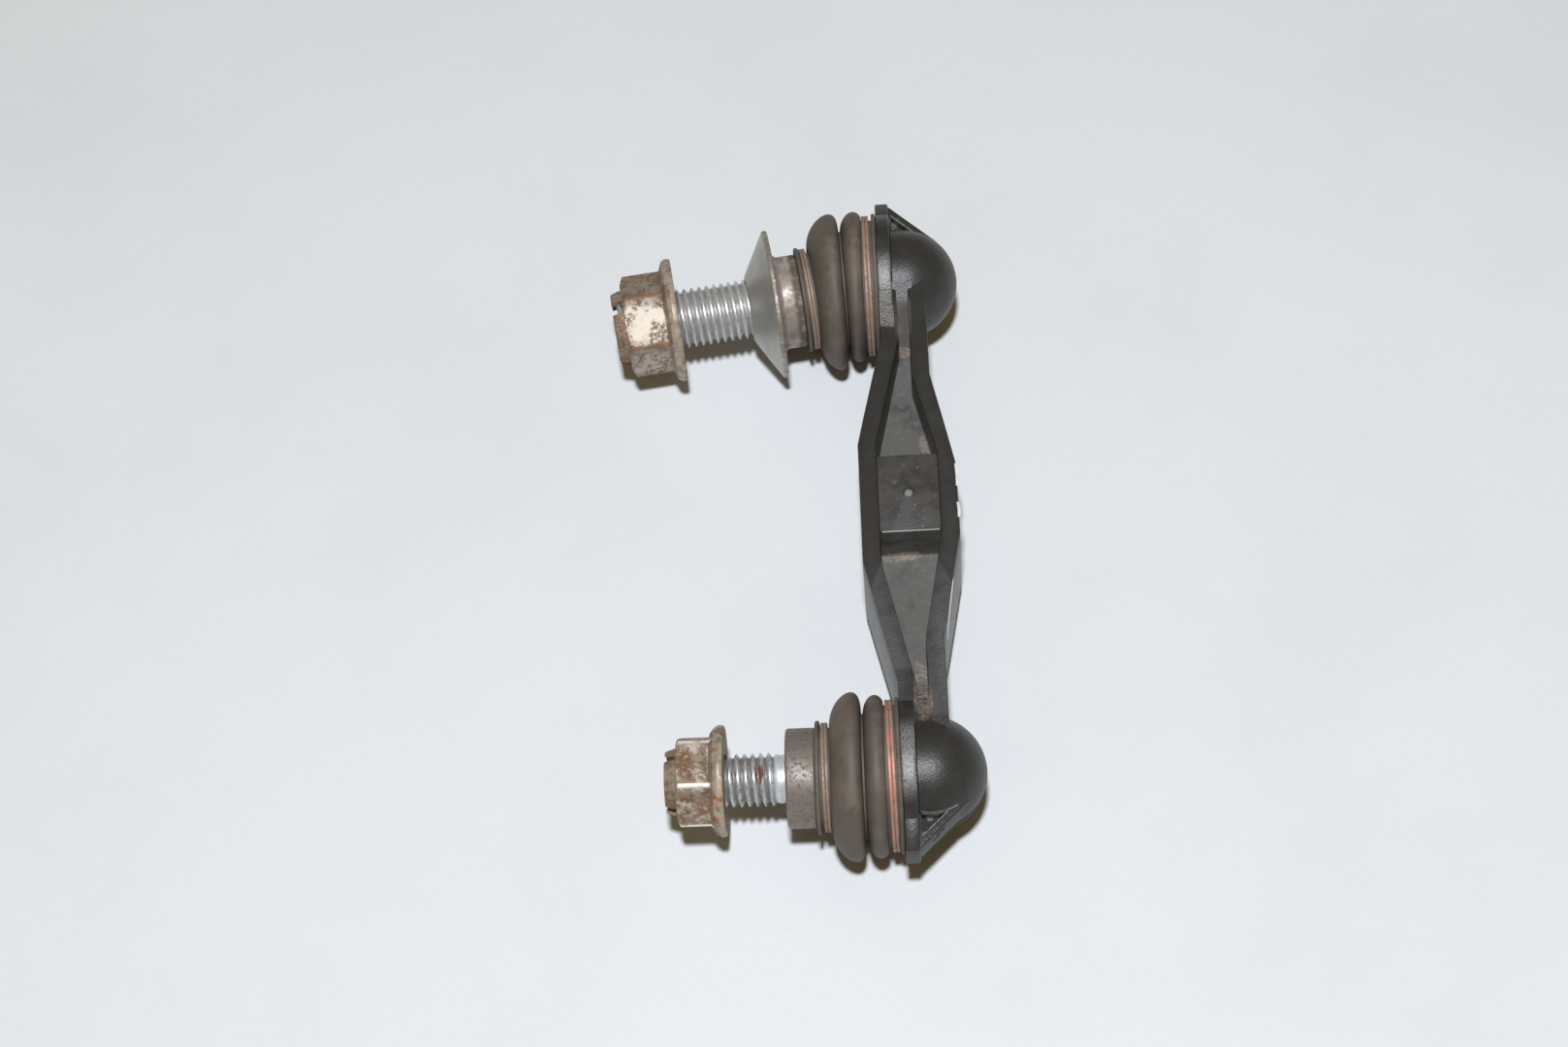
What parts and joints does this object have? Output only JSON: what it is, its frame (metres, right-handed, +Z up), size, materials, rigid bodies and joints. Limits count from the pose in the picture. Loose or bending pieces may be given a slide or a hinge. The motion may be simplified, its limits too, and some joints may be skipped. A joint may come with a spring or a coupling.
{
  "type": "stabilizer link",
  "caption": "Short moulded link with a ball joint at each end, both threaded studs on one side with boots and flange nuts, joining a stabilizer bar to a suspension arm.",
  "frame": {"origin": "middle of the bounding box at the ground, with the link lying flat on its boots", "axes": "+X towards the domes, nuts at -X; +Y along the link towards the M12 joint; +Z up"},
  "size_m": [0.0703, 0.1446, 0.0316],
  "materials": {
    "body_plastic": "moulded, satin",
    "seat_plastic": "moulded",
    "ring_steel": "turned",
    "clip_wire": "dull zinc, rusty",
    "boot_rubber": "dusty",
    "stud_steel": "zinc plated",
    "nut_steel": "zinc plated, rusty"
  },
  "bodies": {
    "link": {"link_body": "body_plastic", "upper_ball_seat": "seat_plastic", "upper_retaining_ring": "ring_steel", "upper_large_clip": "clip_wire", "lower_ball_seat": "seat_plastic", "lower_retaining_ring": "ring_steel", "lower_large_clip": "clip_wire"},
    "upper_boot": {"upper_boot": "boot_rubber"},
    "upper_clip": {"upper_small_clip": "clip_wire"},
    "upper_stud": {"upper_ball_stud": "stud_steel", "upper_cone_ring": "stud_steel"},
    "upper_nut": {"upper_nut": "nut_steel"},
    "lower_boot": {"lower_boot": "boot_rubber"},
    "lower_clip": {"lower_small_clip": "clip_wire"},
    "lower_stud": {"lower_ball_stud": "stud_steel"},
    "lower_nut": {"lower_nut": "nut_steel"}
  },
  "joints": [
    {"name": "upper_swing", "type": "hinge", "parent": "link", "child": "upper_boot", "pos_m": [0.0243, 0.055, 0.0158], "axis": [0, 0, 1], "range_deg": [-22.1, 7.9], "deforming": ["upper_boot"]},
    {"name": "upper_tilt", "type": "hinge", "parent": "upper_boot", "child": "upper_clip", "pos_m": [0.0243, 0.055, 0.0158], "axis": [-0.1236, 0.9923, 0], "range_deg": [-15, 15], "deforming": ["upper_boot"]},
    {"name": "upper_spin", "type": "hinge", "parent": "upper_clip", "child": "upper_stud", "pos_m": [0.0243, 0.055, 0.0158], "axis": [-0.9923, -0.1236, 0], "continuous": true},
    {"name": "upper_nut_travel", "type": "slide", "parent": "upper_stud", "child": "upper_nut", "axis": [-0.9923, -0.1236, 0], "range_m": [0, 0.012]},
    {"name": "lower_swing", "type": "hinge", "parent": "link", "child": "lower_boot", "pos_m": [0.0243, -0.055, 0.0158], "axis": [0, 0, 1], "range_deg": [-14.1, 15.9], "deforming": ["lower_boot"]},
    {"name": "lower_tilt", "type": "hinge", "parent": "lower_boot", "child": "lower_clip", "pos_m": [0.0243, -0.055, 0.0158], "axis": [0.0157, 0.9999, 0], "range_deg": [-15, 15], "deforming": ["lower_boot"]},
    {"name": "lower_spin", "type": "hinge", "parent": "lower_clip", "child": "lower_stud", "pos_m": [0.0243, -0.055, 0.0158], "axis": [-0.9999, 0.0157, 0], "continuous": true},
    {"name": "lower_nut_travel", "type": "slide", "parent": "lower_stud", "child": "lower_nut", "axis": [-0.9999, 0.0157, 0], "range_m": [0, 0.0105]}
  ]
}
